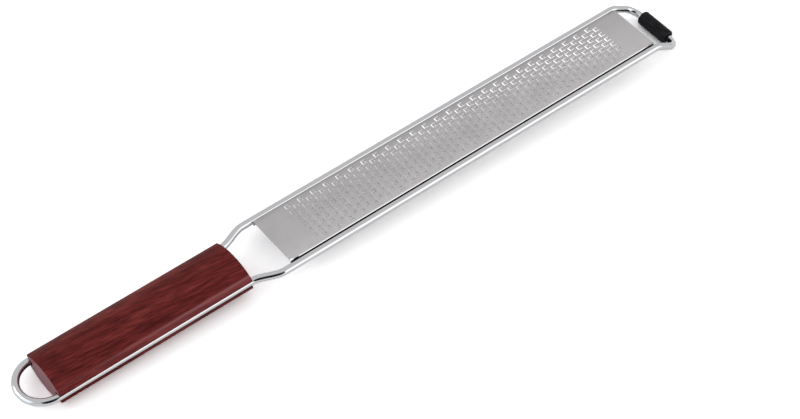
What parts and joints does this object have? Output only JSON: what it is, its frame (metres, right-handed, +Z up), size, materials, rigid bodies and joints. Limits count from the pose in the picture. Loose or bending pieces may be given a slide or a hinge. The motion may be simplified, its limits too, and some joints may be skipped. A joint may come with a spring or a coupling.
{
  "type": "grater",
  "caption": "Hand-held rasp grater: a long toothed steel blade in a bent rod frame, with a wooden handle, a hanging loop behind it and a rubber foot on the bent-down tip.",
  "frame": {"origin": "on the table plane, below the middle of the grater's bounding box, as it lies on its handle and its rubber foot", "axes": "+X along the tool from the hanging loop to the tip, +Z up, out of the toothed side of the blade, +Y across the blade"},
  "size_m": [0.3718, 0.0362, 0.0149],
  "materials": {
    "rod_steel": "polished",
    "blade_steel": "satin",
    "handle_wood": "clear lacquer over dark red wood",
    "foot_rubber": "matte"
  },
  "bodies": {
    "root": {"frame_rod": "rod_steel", "grating_blade": "blade_steel", "wood_handle": "handle_wood", "rubber_foot": "foot_rubber"}
  },
  "joints": []
}
